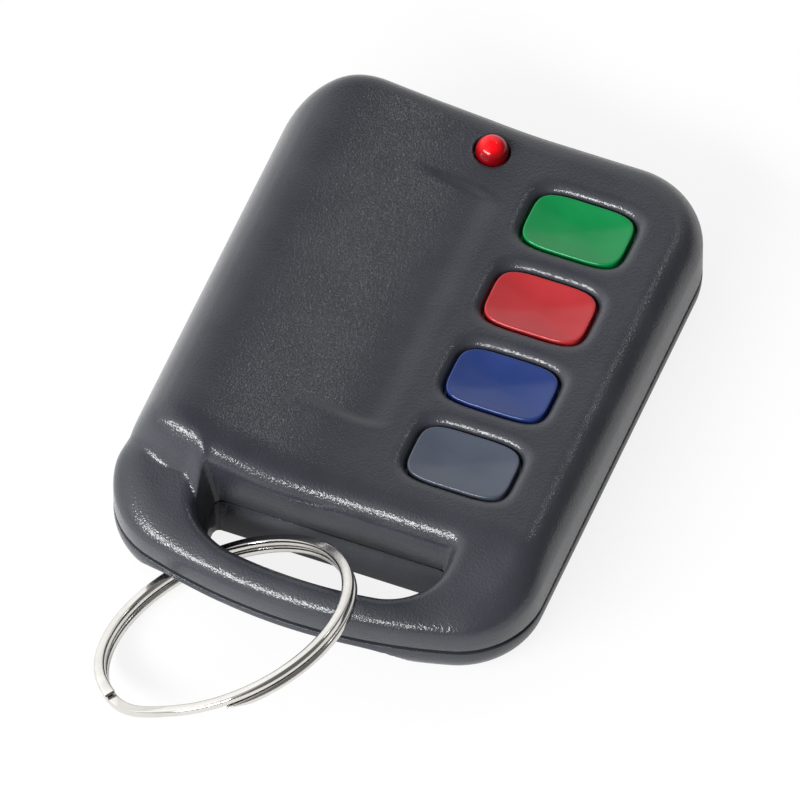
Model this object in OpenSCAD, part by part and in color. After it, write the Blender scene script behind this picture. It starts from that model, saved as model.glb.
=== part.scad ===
// Alarm key fob: a two-part moulded case with four push keys, an indicator lamp and a split ring.
// Millimetres. The origin is the centre of the flat back, +Z points out of the key face, +Y to the lamp end.

/* [Case] */
// Width across the side walls
body_w = 40; // [39:0.5:44]
// Length from the bowed ring end to the lamp end
body_l = 55.2; // [54.4:0.2:60]
// Radius of the plan corners
corner_r = 8; // [7:0.25:9]
// Radius of the bowed ring end
bow_r = 50; // [42:1:70]
// Height of the parting line above the back
part_z = 3.8; // [3.6:0.1:4.4]
// Height of the flat key deck above the back
deck_z = 9.9; // [9.7:0.1:10.8]
// Side wall thickness
wall_t = 1.6; // [1.4:0.1:1.8]
// Thickness of the wall under the key face
roof_t = 1.6; // [1.4:0.1:1.8]
// Thickness of the back
floor_t = 1.4; // [1.2:0.1:1.6]
// Rounding of the lower outer edge
base_r = 2.8; // [2.2:0.1:3]
// Share of the side height that stays upright below the shoulder
upright = 0.45; // [0.35:0.05:0.6]
// Rounding width of the shoulder on the key side
shoulder_r = 3; // [2.4:0.1:3.6]
// Height of the shadow groove at the parting line
groove_h = 0.32; // [0.2:0.02:0.4]
// Depth of the shadow groove at the parting line
groove_d = 0.4; // [0.2:0.05:0.6]
// Height of the locating lip on the lower half
lip_h = 0.8; // [0.5:0.1:1.2]
// Thickness of the locating lip
lip_t = 0.75; // [0.6:0.05:0.9]

/* [Battery hump] */
// Rise of the hump above the key deck
hump_h = 3.2; // [2.6:0.1:3.6]
// Where the slope of the hump meets the deck, from the centre line
hump_foot_x = 4; // [3.4:0.1:4.4]
// Hollowness of the slope, 1 is straight
hump_power = 1.6; // [1.2:0.1:2]
// Rounding width of the shoulder on the hump side
hump_shoulder_r = 5.5; // [4.5:0.25:6.5]
// Softness of the crest of the hump
hump_soft = 0.8; // [0.5:0.1:1]
// How far the hump takes to fall away by the slot
hump_fall = 1.6; // [1.2:0.1:2]
// Share of the hump that carries on beside the slot towards the bar
hump_tail = 0.45; // [0.3:0.05:0.6]

/* [Label recess] */
// Width of the recess
label_w = 9.2; // [7:0.2:10]
// Length of the recess
label_l = 27.7; // [22:0.5:30]
// Right edge of the recess from the centre line
label_right_x = 1.1; // [0:0.1:1.6]
// Centre of the recess along the case
label_y = 4.65; // [3.65:0.1:5.65]
// Depth at the right edge
label_depth = 0.4; // [0.2:0.05:0.6]
// Corner radius of the recess
label_r = 0.8; // [0.5:0.1:1.5]
// Width of the soft edge round the recess
label_edge = 0.5; // [0.3:0.1:0.8]

/* [Keys] */
// Key width across the case
key_w = 9.4; // [8.4:0.1:9.8]
// Key length along the case
key_l = 6.2; // [5.4:0.1:6.4]
// Squareness of the key outline
key_power = 4.2; // [2.5:0.1:6]
// Key spacing along the case
key_pitch = 9.24; // [9:0.02:9.6]
// Key column from the side of the case
key_side = 10.7; // [10:0.1:11]
// Middle of the key group from the middle of the hollow
key_shift = -0.85; // [-1.2:0.05:-0.3]
// Gap round each key
key_gap = 0.25; // [0.2:0.05:0.35]
// Height of the key rim above the deck
key_proud = -0.1; // [-0.3:0.05:0.4]
// Depth of the finger dish in the key
key_dish = 0.4; // [0.1:0.05:0.6]
// Rounding of the key rim
key_edge = 0.35; // [0.2:0.05:0.5]
// Rounding of the deck edge round each key
key_scoop = 1.15; // [0.8:0.05:1.3]
// Reach of the retaining flange under the deck, at both ends of the key
flange_w = 0.8; // [0.5:0.1:0.9]
// Thickness of the retaining flange
flange_t = 0.8; // [0.6:0.1:1]
// Play above the flange
flange_play = 0.1; // [0.05:0.05:0.15]
// Key travel
key_travel = 0.4; // [0.2:0.05:0.5]
// Wall of the hollow key
key_wall = 1.1; // [0.9:0.1:1.3]
// Diameter of the post inside the key
key_post_d = 2.6; // [2.2:0.1:3]

/* [Lamp] */
// Lamp diameter
led_d = 3; // [2.8:0.1:3.4]
// Lamp position across the case
led_x = -0.85; // [-2:0.05:0.5]
// Lamp position from the lamp end
led_inset = 4.65; // [4.4:0.05:5]
// Height of the dome above the case
led_out = 1.45; // [1.2:0.05:1.7]
// Overall lamp height
led_h = 5.3; // [5:0.1:5.6]
// Width of the flange round the lamp's foot
led_flange = 0.4; // [0.3:0.05:0.5]
// Gap round the dome
led_gap = 0.15; // [0.1:0.05:0.25]

/* [Ring bar and slot] */
// Distance from the bowed end to the straight wall of the slot
slot_in = 10.1; // [9.6:0.1:10.6]
// Width of the slot across the case
slot_w = 23.2; // [22:0.2:24]
// Thickness of the bar at its middle
bar_w = 2.9; // [2.6:0.1:3.4]
// Height of the bar
bar_z = 7.3; // [6.8:0.1:7.8]
// Corner radius of the slot by its straight wall
slot_r_hi = 0.6; // [0.5:0.05:0.8]
// Corner radius of the slot by the bar
slot_r_lo = 5.6; // [5:0.1:5.8]
// Rounding of the upper rim of the slot
slot_rim = 1.5; // [1:0.1:1.7]
// Height of the arch under the bar
arch_h = 2.7; // [2.65:0.05:2.8]
// Width of the arch under the bar
arch_w = 28; // [27.5:0.25:29]
// Middle of the arch across the case
arch_x = -2.5; // [-2.75:0.05:-2.25]
// Slope of the arch, higher towards the slot
arch_slope = 7; // [6:0.5:8]

/* [Split ring] */
// Outer diameter of the ring
ring_od = 24.5; // [23:0.5:28]
// Radial width of the wire
ring_wire_w = 1.05; // [0.9:0.05:1.2]
// Thickness of each turn
ring_wire_t = 0.52; // [0.48:0.02:0.56]
// Gap between the two turns
ring_gap = 0.43; // [0.42:0.01:0.46]
// Slope of the ring as it lies
ring_tilt = 28.5; // [28:0.5:29.5]
// Heading of the upper side of the ring
ring_heading = -17.8; // [-19:0.4:-16.6]
// Where the lower side of the ring lies in the slot, across the case
ring_in_x = -8.8; // [-9:0.05:-8.6]
// Where the lower side of the ring lies in the slot, from the bowed end
ring_in_y = 5.92; // [5.72:0.05:6.12]
// Angle of the step between the turns
ring_step_at = 270; // [240:5:300]

/* [Battery] */
// Cell diameter
battery_d = 8; // [7.7:0.1:8]
// Cell length
battery_len = 28.2; // [27.8:0.1:28.4]
// Room between the spring's plate and the end of the hollow
battery_end_room = 0.4; // [0.3:0.1:1.2]
// Room between the cell and the side wall
battery_room = 0.9; // [0.8:0.1:1.2]
// Thickness of the contact plates
contact_t = 0.4; // [0.3:0.05:0.5]
// Length of the spring with the cell in
spring_len = 3.6; // [3.4:0.1:4.2]
// Diameter of the spring
spring_d = 5; // [4:0.2:6]
// Width of the contact plates
contact_w = 6; // [5:0.2:6.4]
// Height of the contact plates
contact_h = 5.2; // [4.6:0.2:6]
// Width of the foot of each contact on the board
contact_foot = 1.5; // [1.2:0.1:1.8]
// Height of the button on the cell
battery_nub = 0.6; // [0.4:0.1:0.8]
// Diameter of the spring wire
spring_wire = 0.45; // [0.4:0.05:0.5]
// Turns of the spring
spring_turns = 3; // [2:0.5:3]

/* [Circuit board] */
// Board thickness
pcb_t = 1.2; // [1:0.1:1.6]
// Height of the board's underside above the back
pcb_z = 2.3; // [2.2:0.1:2.5]
// Room between the board and the case
pcb_room = 0.4; // [0.3:0.1:0.6]
// Width of each switch
switch_w = 4.5; // [4:0.1:5]
// Diameter of the switch plunger
plunger_d = 2.4; // [2:0.1:2.5]
// How far the plunger stands out of the switch
plunger_out = 0.95; // [0.8:0.05:1.2]
// How far the plunger reaches into the switch
plunger_in = 0.7; // [0.5:0.05:0.8]
// Thickness of the switch cover plate
cover_t = 0.15; // [0.1:0.05:0.2]

/* [Parts on the board] */
// Room between parts
part_gap = 0.8; // [0.5:0.1:1]
// Length of the encoder chip
chip_l = 10; // [9:0.2:10.4]
// Width of the encoder chip
chip_w = 4; // [3.6:0.1:4.4]
// Height of the encoder chip
chip_h = 1.5; // [1.2:0.1:1.8]
// Length of the chip's pins
pin_l = 1; // [0.8:0.1:1.2]
// Diameter of the resonator can
saw_d = 5.2; // [4.6:0.2:5.6]
// Height of the resonator can
saw_h = 2.8; // [2.2:0.1:3]
// Length of the transistor
rf_l = 2.9; // [2.6:0.1:3.2]
// Width of the transistor
rf_w = 1.4; // [1.2:0.1:1.6]
// Height of the transistor
rf_h = 1; // [0.8:0.1:1.2]
// Width of the trimmer
trimmer_w = 3.2; // [2.8:0.1:3.6]
// Length of the trimmer
trimmer_l = 3; // [2.6:0.1:3.2]
// Height of the trimmer
trimmer_h = 1.4; // [1.2:0.1:1.8]
// Length of each resistor
resistor_l = 2; // [1.6:0.1:2.2]
// Width of each resistor
resistor_w = 1.25; // [1:0.05:1.4]
// Height of each resistor
resistor_h = 0.5; // [0.4:0.05:0.6]
// Length of each capacitor
capacitor_l = 2; // [1.6:0.1:2.2]
// Width of each capacitor
capacitor_w = 1.25; // [1:0.05:1.4]
// Height of each capacitor
capacitor_h = 0.8; // [0.6:0.05:1]
// Height of the wire hoop
hoop_h = 3.3; // [2.8:0.1:3.4]
// Thickness of the hoop's wire
hoop_t = 0.8; // [0.6:0.1:0.9]
// Thickness of the lamp's wires
lead_t = 0.5; // [0.4:0.05:0.6]
// Spacing of the lamp's wires
lead_pitch = 2.54; // [2.5:0.02:2.6]

/* [Screws] */
// Shank diameter
screw_d = 2.2; // [2:0.1:2.4]
// Shank length under the head
screw_len = 5.4; // [5:0.1:5.6]
// Head diameter
screw_head_d = 4; // [3.6:0.1:4.2]
// Head height
screw_head_h = 1.3; // [1:0.1:1.4]
// Screw position behind the straight wall of the slot
screw_back = 1.2; // [1:0.1:1.5]
// Length of the screw's point
screw_tip = 1; // [0.8:0.1:1.4]
// Depth of the hole for the head
screw_sink = 1.9; // [1.7:0.1:2]

/* [Hidden] */
$fn = 40;

// Plan shapes: half width, upper edge, upper corner radius, lower edge, lower corner radius, bow radius
slot_y = -body_l/2 + slot_in;
body_plan = [body_w/2, body_l/2, corner_r, -body_l/2, corner_r, bow_r];
slot_plan = [slot_w/2, slot_y, slot_r_hi, -body_l/2 + bar_w, slot_r_lo, bow_r - bar_w];
room_plan = [body_w/2 - wall_t, body_l/2 - wall_t, corner_r - wall_t, slot_y + wall_t, 2, 900];
pcb_plan = [room_plan[0] - pcb_room, room_plan[1] - pcb_room, room_plan[2] - pcb_room,
  room_plan[3] + pcb_room, 1.6, 900];

// Positions that follow from the sizes above
body_cx = body_w/2 - corner_r;
body_cy_hi = body_l/2 - corner_r;
bow_y = -body_l/2 + bow_r;
body_cy_lo = bow_y - sqrt(pow(bow_r - corner_r, 2) - body_cx*body_cx);
battery_x = -body_w/2 + wall_t + battery_room + battery_d/2;
battery_z = floor_t + 0.2 + battery_d/2;
battery_lo = room_plan[3] + battery_end_room + contact_t + spring_len;
battery_hi = battery_lo + battery_len;
battery_y = (battery_lo + battery_hi)/2;
ridge_x = battery_x + 0.5;
bar_back = -body_l/2 + bar_w*0.6;
pcb_top = pcb_z + pcb_t;
pcb_x0 = battery_x + battery_d/2 + 1;
key_x = body_w/2 - key_side;
key_ys = [for (i = [0:3]) (room_plan[1] + room_plan[3])/2 + key_shift + key_pitch*(1.5 - i)];
key_low = deck_z - roof_t - flange_play - flange_t;
key_top = deck_z + key_proud;
switch_top = key_low - plunger_out - cover_t;
// Parts on the board, in a column from the ring end
chip_x = (pcb_x0 + key_x - switch_w/2)/2;
trimmer_y = pcb_plan[3] + part_gap/2 + trimmer_l/2;
saw_y = trimmer_y + trimmer_l/2 + part_gap + saw_d/2;
rf_y = saw_y + saw_d/2 + part_gap + rf_l/2;
chip_y = rf_y + rf_l/2 + part_gap + chip_l/2;
resistor_y = chip_y + chip_l/2 + part_gap + resistor_w/2;
capacitor_y = resistor_y + 2*(resistor_w + part_gap) + (capacitor_l - resistor_w)/2;
led_y = body_l/2 - led_inset;
led_collar_d = led_d + 2*led_flange;
screw_pos = [for (s = [-1, 1]) [s*(slot_w/2 + body_w/2)/2, slot_y - screw_back]];
screw_top = screw_sink + screw_len;
arch_in = -body_l/2 + bar_w + 3.1;
ring_stack = 2*ring_wire_t + ring_gap;
ring_z = ring_od/2*sin(ring_tilt) + ring_stack/2*cos(ring_tilt) + 0.05;
ring_r = ring_od/2 - ring_wire_w/2;
ring_lie = ring_od/2*[cos(135)*cos(ring_tilt), sin(135)];
ring_x = ring_in_x - ring_lie[0]*cos(ring_heading) + ring_lie[1]*sin(ring_heading);
ring_y = -body_l/2 + ring_in_y - ring_lie[0]*sin(ring_heading) - ring_lie[1]*cos(ring_heading);
case_black = [0.10, 0.10, 0.11];
metal = [0.75, 0.76, 0.78];

// Small helpers
function ease(a, b, v) = let (t = min(1, max(0, (v - a)/(b - a)))) t*t*(3 - 2*t);
function soft_min(a, b, k) = min(a, b) - pow(max(0, k - abs(a - b)), 2)/(4*k);
function arc(c, r, a0, a1, n) = [for (i = [0:n]) c + r*[cos(a0 + (a1 - a0)*i/n), sin(a0 + (a1 - a0)*i/n)]];
function run(p, q, n, bias = 1) = [for (i = [1:n - 1]) p + (q - p)*pow(i/n, bias)];
function flip(list) = [for (i = [len(list) - 1:-1:0]) list[i]];
function flat(lists) = [for (l = lists) for (v = l) v];
function lift(ring, z) = [for (p = ring) [p[0], p[1], z]];

// Rounded plan with a bowed lower edge, grown by a distance, counter-clockwise
function outline(s, grow, nc, ns, nt, nb) =
  let (
    hx = s[0] - s[2],
    hy = s[1] - s[2],
    lx = s[0] - s[4],
    by = s[3] + s[5],
    ly = by - sqrt(pow(s[5] - s[4], 2) - lx*lx),
    a = atan2(ly - by, lx),
    right = s[0] + grow,
    top = s[1] + grow
  )
  concat(
    arc([lx, ly], s[4] + grow, a, 0, nc),
    run([right, ly], [right, hy], ns, 1.6),
    arc([hx, hy], s[2] + grow, 0, 90, nc),
    run([hx, top], [-hx, top], nt),
    arc([-hx, hy], s[2] + grow, 90, 180, nc),
    flip(run([-right, ly], [-right, hy], ns, 1.6)),
    arc([-lx, ly], s[4] + grow, 180, 180 - a, nc),
    [for (i = [1:nb - 1]) let (b = -180 - a + (2*a + 180)*i/nb) [0, by] + (s[5] + grow)*[cos(b), sin(b)]]
  );

// Closed solid through rings of equal length, from the lowest inner ring to the last
module loft(rings) {
  n = len(rings[0]);
  m = len(rings);
  sides = [for (k = [0:m - 2]) for (i = [0:n - 1]) let (a = k*n + i, b = k*n + (i + 1)%n)
    each [[a, a + n, b], [b, a + n, b + n]]];
  polyhedron(flat(rings), concat([[for (i = [0:n - 1]) i]], sides, [[for (i = [n - 1:-1:0]) (m - 1)*n + i]]), 6);
}

// Distance of a plan point from the edge of the case
function depth(p) =
  let (x = abs(p[0]), y = p[1])
  (y > body_cy_hi && x > body_cx) ? corner_r - norm([x - body_cx, y - body_cy_hi])
  : (y < body_cy_lo && body_cx*(y - bow_y) - (body_cy_lo - bow_y)*x > 0)
  ? corner_r - norm([x - body_cx, y - body_cy_lo])
  : min(body_w/2 - x, body_l/2 - y, bow_r - norm([x, y - bow_y]));

// Height of the moulded face: the deck falls to the bar, the hump rises on the left
function hump_side(x) = hump_h*sqrt(1 - 0.95*pow(max(0, ridge_x - x)/(ridge_x + body_w/2), 2));
function hump_slope(x) = hump_h*pow(max(0, hump_foot_x - x)/(hump_foot_x - ridge_x), hump_power);
function hump(x) = soft_min(hump_side(x), hump_slope(x), hump_soft);
function hump_stay(x, y) = (1 - (1 - hump_tail)*ease(-body_w*0.42, -slot_w/2, x))*ease(bar_back, slot_y, y);
function hump_end(x, y) = let (stay = hump_stay(x, y))
  stay + (1 - stay)*ease(slot_y - 0.15 - hump_fall/2, slot_y - 0.15 + hump_fall/2, y);
function crown(x, y) = bar_z + (deck_z - bar_z)*ease(bar_back, slot_y + slot_rim + 1.1, y)
  + hump(max(x, -body_w/2))*hump_end(x, y);
function shoulder(x) = shoulder_r + (hump_shoulder_r - shoulder_r)*ease(-body_w*0.15, -body_w*0.4, x);
function rise(x, d) = let (u = min(1, max(0, d/shoulder(x)))) sqrt(1 - (1 - u)*(1 - u));
function skin(p) = part_z + (crown(p[0], p[1]) - part_z)*(upright + (1 - upright)*rise(p[0], depth(p)));

// Points to each corner, side run and end run of the case rings
case_n = [7, 20, 12];
function case_ring(inset) = outline(body_plan, -inset, case_n[0], case_n[1], case_n[2], case_n[2]);
function scaled(ring, f, c) = [for (p = ring) c + f*(p - c)];
function on_skin(ring, drop) = [for (p = ring) [p[0], p[1], skin(p) - drop]];

// Upper half before anything is cut from it: rings round the shoulder, then rows across the face
module upper_form() {
  k = 11;
  c = case_n[0];
  s = case_n[1];
  t = case_n[2];
  inner = case_ring(corner_r*0.92);
  n = len(inner);
  rings = concat(
    [lift(case_ring(0), part_z)],
    [for (i = [0:k]) on_skin(case_ring(corner_r*0.92*pow(i/k, 1.7)), 0)]
  );
  o = (k + 1)*n;
  m = (k + 2)*n;
  right = c;
  top_right = right + s + c;
  top_left = top_right + t;
  left = top_left + c + s;
  low_left = left + c;
  rows = [for (i = [0:s]) for (j = [1:t - 1])
    let (p = inner[right + i] + (inner[left - i] - inner[right + i])*j/t) [p[0], p[1], skin(p)]];
  function at(i, j) = j == 0 ? o + right + i : j == t ? o + left - i : m + i*(t - 1) + j - 1;
  function low(j) = j == 0 ? o : o + low_left + t - j;
  sides = [for (r = [0:k]) for (i = [0:n - 1]) let (a = r*n + i, b = r*n + (i + 1)%n)
    each [[a, a + n, b], [b, a + n, b + n]]];
  face = [for (i = [0:s - 1]) for (j = [0:t - 1])
    each [[at(i, j), at(i, j + 1), at(i + 1, j)], [at(i + 1, j), at(i, j + 1), at(i + 1, j + 1)]]];
  ends = [for (j = [0:t - 1]) each [
    [at(s, j), at(s, j + 1), o + top_right + j], [o + top_right + j, at(s, j + 1), o + top_right + j + 1],
    [low(j), low(j + 1), at(0, j)], [at(0, j), low(j + 1), at(0, j + 1)]]];
  fans = [for (i = [1:c - 1]) each [
    [o + right + s, o + right + s + i + 1, o + right + s + i],
    [o + left - s, o + left - s - i, o + left - s - i - 1],
    [o + right, o + right - i, o + right - i - 1],
    [o + left, o + left + i + 1, o + left + i]]];
  polyhedron(concat(flat(rings), rows), concat([[for (i = [0:n - 1]) i]], sides, face, ends, fans), 6);
}

function room_ring(inset) = outline(room_plan, -inset, 5, 9, 6, 6);

// Hollow of the upper half
module upper_room() {
  mid = [0, (room_plan[1] + room_plan[3])/2];
  inner = room_ring(1.8);
  loft(concat(
    [lift(room_ring(0), part_z - 0.5)],
    [for (d = [0, 0.6, 1.8]) on_skin(room_ring(d), roof_t)],
    [for (f = [0.82, 0.64, 0.46, 0.28]) on_skin(scaled(inner, f, mid), roof_t)],
    [lift(scaled(inner, 0.05, mid), skin(mid) - roof_t)]
  ));
}

// Opening with a rounded rim that follows the moulded face
module rimmed_cut(s, r) {
  loft(concat(
    [lift(outline(s, 0, 6, 3, 16, 14), part_z - 2)],
    [for (a = [0:16:80]) let (g = r*(1 - cos(a))) on_skin(outline(s, g, 6, 3, 16, 14), r*(1 - sin(a)))],
    [on_skin(outline(s, r, 6, 3, 16, 14), -0.06)],
    [lift(outline(s, r, 6, 3, 16, 14), deck_z + hump_h + 3)]
  ));
}

// Key outline, a rounded barrel
function barrel(grow, n, ends = 0) = [for (i = [0:n - 1])
  let (a = 360*(i + 0.5)/n, c = cos(a), s = sin(a))
  [(key_w/2 + grow + ends)*sign(c)*pow(abs(c), 2/key_power), (key_l/2 + grow)*sign(s)*pow(abs(s), 2/key_power)]];

module key_cut() {
  n = 36;
  loft(concat(
    [lift(barrel(key_gap, n), deck_z - roof_t - 1)],
    [for (a = [0:16:80]) lift(barrel(key_gap + key_scoop*(1 - cos(a)), n), deck_z - key_scoop*(1 - sin(a)))],
    [lift(barrel(key_gap + key_scoop, n), deck_z + 0.05), lift(barrel(key_gap + key_scoop, n), deck_z + 2)]
  ));
}

// One hollow key, from its post up the inside and over the flange to the dish
module key(i, c) {
  n = 28;
  edge = barrel(-key_edge, n);
  post = [for (j = [0:n - 1]) key_post_d/2*[cos(360*(j + 0.5)/n), sin(360*(j + 0.5)/n)]];
  roof = key_top - key_dish - 1.1;
  color(c) translate([key_x, key_ys[i], 0]) loft(concat(
    [lift(post, key_low), lift(post, roof), lift(barrel(-key_wall, n), roof), lift(barrel(-key_wall, n), key_low)],
    [lift(barrel(0.15, n, flange_w - 0.15), key_low), lift(barrel(0.15, n, flange_w - 0.15), key_low + flange_t)],
    [lift(barrel(0, n), key_low + flange_t)],
    [for (a = [0:30:90]) lift(barrel(-key_edge*(1 - cos(a)), n), key_top - key_edge*(1 - sin(a)))],
    [for (f = [0.86, 0.66, 0.42, 0.2, 0.02]) lift(scaled(edge, f, [0, 0]), key_top - key_dish*(1 - f*f))]
  ));
}

// Bare recess: its floor leaves the hump slope on the left and lies deepest on the right
function label_ring(grow) = outline(
  [label_w/2, label_l/2, label_r, -label_l/2, label_r, 900], grow, 5, 3, 3, 3);
module label_cut() {
  x1 = label_right_x;
  x0 = x1 - label_w;
  mid = [(x0 + x1)/2, label_y];
  z0 = deck_z + hump(x0) - 0.05;
  z1 = deck_z + hump(x1) - label_depth;
  function floor_ring(grow, up) = [for (p = label_ring(grow))
    let (q = p + mid) [q[0], q[1], z0 + (z1 - z0)*(q[0] - x0)/(x1 - x0) + up]];
  loft([floor_ring(0, 0), floor_ring(label_edge*0.3, 0.05), floor_ring(label_edge*0.75, 0.22),
    floor_ring(label_edge, 0.5), floor_ring(label_edge, 3)]);
}

module stud(p, d0, d1, z0, z1) {
  hull() {
    translate([p[0], p[1], z0]) cylinder(d = d0, h = 0.4, $fn = 20);
    translate([p[0], p[1], z1 - 0.4]) cylinder(d = d1, h = 0.4, $fn = 20);
  }
}
module rib(p, size0, size1, z0, z1) {
  hull() {
    translate([p[0] - size0[0]/2, p[1] - size0[1]/2, z0]) cube([size0[0], size0[1], 0.2]);
    translate([p[0] - size1[0]/2, p[1] - size1[1]/2, z1 - 0.2]) cube([size1[0], size1[1], 0.2]);
  }
}

stud_x = pcb_x0 + 1.2;
stud_right_x = pcb_plan[0] - 1.6;
pcb_studs = [
  [stud_x, saw_y], [stud_x, resistor_y], [stud_x + contact_foot + 0.4, pcb_plan[1] - 1.6],
  [stud_right_x, key_ys[3] + key_pitch/2], [stud_right_x, key_ys[1] + key_pitch/2], [stud_right_x, pcb_plan[3] + 2]
];

module top_shell() {
  roof = deck_z + hump_h;
  color(case_black) difference() {
    upper_form();
    difference() {
      upper_room();
      for (p = pcb_studs) stud(p, 1.4, 2, pcb_top + 0.05, roof);
      for (dy = [-9, 9]) rib([battery_x, battery_y + dy], [4, 1], [6, 1.4], battery_z + battery_d/2 + 0.1, roof);
    }
    for (y = key_ys) translate([key_x, y, 0]) key_cut();
    rimmed_cut(slot_plan, slot_rim);
    label_cut();
    translate([led_x, led_y, deck_z - 3]) cylinder(d = led_d + 2*led_gap, h = 6, $fn = 32);
    translate([led_x, led_y, 0]) cylinder(d = led_collar_d + 0.4, h = skin([led_x, led_y]) - 1, $fn = 32);
    for (p = screw_pos) translate([p[0], p[1], part_z - 1]) {
      cylinder(d = screw_d + 0.14, h = screw_top - part_z + 1.4, $fn = 24);
    }
    lower_lip(lip_t + 0.1, part_z - 1, part_z + lip_h + 0.1);
  }
}

module lower_form() {
  loft(concat(
    [for (a = [0:18:90]) lift(case_ring(base_r*(1 - sin(a))), base_r*(1 - cos(a)))],
    [lift(case_ring(0), part_z - groove_h), lift(case_ring(groove_d), part_z - groove_h)],
    [lift(case_ring(groove_d), part_z)]
  ));
}

module lower_lip(grow, z0, z1) {
  loft([lift(outline(room_plan, grow, 5, 3, 3, 3), z0), lift(outline(room_plan, grow, 5, 3, 3, 3), z1)]);
}

module bottom_shell() {
  color(case_black) difference() {
    union() {
      difference() {
        union() {
          lower_form();
          lower_lip(lip_t, part_z - 1, part_z + lip_h);
        }
        lower_lip(0, floor_t, part_z + 3);
      }
      for (p = pcb_studs) stud(p, 2.6, 1.8, floor_t - 0.3, pcb_z);
      for (dy = [-9, 9]) difference() {
        rib([battery_x, battery_y + dy], [battery_d - 0.2, 1.6], [battery_d - 0.2, 1.2], floor_t - 0.3, battery_z - 0.6);
        translate([battery_x, battery_y + dy - 2, battery_z]) rotate([-90, 0, 0]) {
          cylinder(d = battery_d + 0.16, h = 4, $fn = 40);
        }
      }
    }
    loft([lift(outline(slot_plan, 0.8, 6, 3, 3, 14), -1), lift(outline(slot_plan, 0.8, 6, 3, 3, 14), 0),
      lift(outline(slot_plan, 0.2, 6, 3, 3, 14), 0.45), lift(outline(slot_plan, 0, 6, 3, 3, 14), 1),
      lift(outline(slot_plan, 0, 6, 3, 3, 14), part_z + 3)]);
    translate([arch_x, arch_in, (bar_w + 3.1)*tan(arch_slope)]) rotate([90 + arch_slope, 0, 0]) {
      linear_extrude(bar_w + 6) polygon(concat([[arch_w/2, -4]],
        [for (i = [14:-1:-14]) let (u = i/14) [u*arch_w/2, arch_h*(1 - pow(u, 8))]], [[-arch_w/2, -4]]));
    }
    for (p = screw_pos) translate([p[0], p[1], -1]) {
      cylinder(d = screw_head_d + 0.5, h = screw_sink + 1, $fn = 32);
      cylinder(d = screw_d + 0.3, h = part_z + 3, $fn = 24);
    }
  }
}

module green_button() { key(0, [0.10, 0.52, 0.32]); }
module red_button() { key(1, [0.68, 0.20, 0.22]); }
module blue_button() { key(2, [0.16, 0.23, 0.47]); }
module grey_button() { key(3, [0.30, 0.33, 0.38]); }

module led_lens() {
  r = led_d/2;
  z2 = skin([led_x, led_y]) + led_out;
  z0 = z2 - led_h;
  color([0.9, 0.05, 0.05]) translate([led_x, led_y, 0]) rotate_extrude() {
    polygon(concat([[0, z0], [led_collar_d/2, z0], [led_collar_d/2, z0 + 0.9], [r, z0 + 0.9]],
      arc([0, z2 - r], r, 0, 84, 10), [[0, z2]]));
  }
}

led_low = skin([led_x, led_y]) + led_out - led_h;
module led_leads() {
  color(metal) for (s = [-0.5, 0.5]) translate([led_x + s*lead_pitch - lead_t/2, led_y - lead_t/2, pcb_z - lead_t]) {
    cube([lead_t, lead_t, led_low - pcb_z + lead_t]);
  }
}

module circuit_board() {
  color([0.10, 0.35, 0.20]) difference() {
    translate([0, 0, pcb_z]) linear_extrude(pcb_t) intersection() {
      polygon(outline(pcb_plan, 0, 6, 2, 2, 2));
      translate([pcb_x0, -body_l]) square([body_w, 2*body_l]);
    }
    for (s = [-0.5, 0.5]) translate([led_x + s*lead_pitch, led_y, pcb_z - 1]) cylinder(d = 2*lead_t, h = pcb_t + 2);
  }
}

module switch_base(i) {
  color([0.12, 0.12, 0.13]) translate([key_x, key_ys[i], pcb_top]) difference() {
    translate([-switch_w/2, -switch_w/2, 0]) cube([switch_w, switch_w, switch_top - pcb_top]);
    translate([0, 0, switch_top - pcb_top - plunger_in - key_travel - 0.3]) cylinder(d = plunger_d + 0.4, h = 3);
  }
}
module green_switch() { switch_base(0); }
module red_switch() { switch_base(1); }
module blue_switch() { switch_base(2); }
module grey_switch() { switch_base(3); }

module plunger(i) {
  color([0.85, 0.83, 0.76]) translate([key_x, key_ys[i], switch_top - plunger_in]) {
    cylinder(d = plunger_d, h = key_low - switch_top + plunger_in);
  }
}
module green_plunger() { plunger(0); }
module red_plunger() { plunger(1); }
module blue_plunger() { plunger(2); }
module grey_plunger() { plunger(3); }

module switch_covers() {
  color(metal) for (y = key_ys) translate([key_x, y, switch_top]) difference() {
    translate([-switch_w/2, -switch_w/2, 0]) cube([switch_w, switch_w, cover_t]);
    translate([0, 0, -1]) cylinder(d = plunger_d + 0.4, h = 3);
  }
}

module battery() {
  color([0.55, 0.45, 0.20]) translate([battery_x, battery_lo, battery_z]) rotate([-90, 0, 0]) rotate_extrude() {
    r = battery_d/2;
    polygon([[0, 0], [r - 0.3, 0], [r, 0.3], [r, battery_len - 0.4], [r - 0.4, battery_len],
      [1.6, battery_len], [1.5, battery_len + battery_nub], [0, battery_len + battery_nub]]);
  }
}

// Contact plate with an arm that bends over onto the board
module contact(y) {
  arm_x = pcb_x0 + 0.3 + contact_foot;
  translate([battery_x - contact_w/2, y, battery_z - contact_h/2]) cube([contact_w, contact_t, contact_h]);
  translate([battery_x, y, pcb_top]) cube([arm_x - battery_x, contact_t, contact_foot + contact_t]);
  translate([arm_x - contact_foot, y, pcb_top]) cube([contact_foot, contact_foot, contact_t]);
}
module positive_contact() {
  color(metal) contact(battery_hi + battery_nub);
}
module negative_plate() {
  color(metal) contact(battery_lo - spring_len - contact_t);
}

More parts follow.
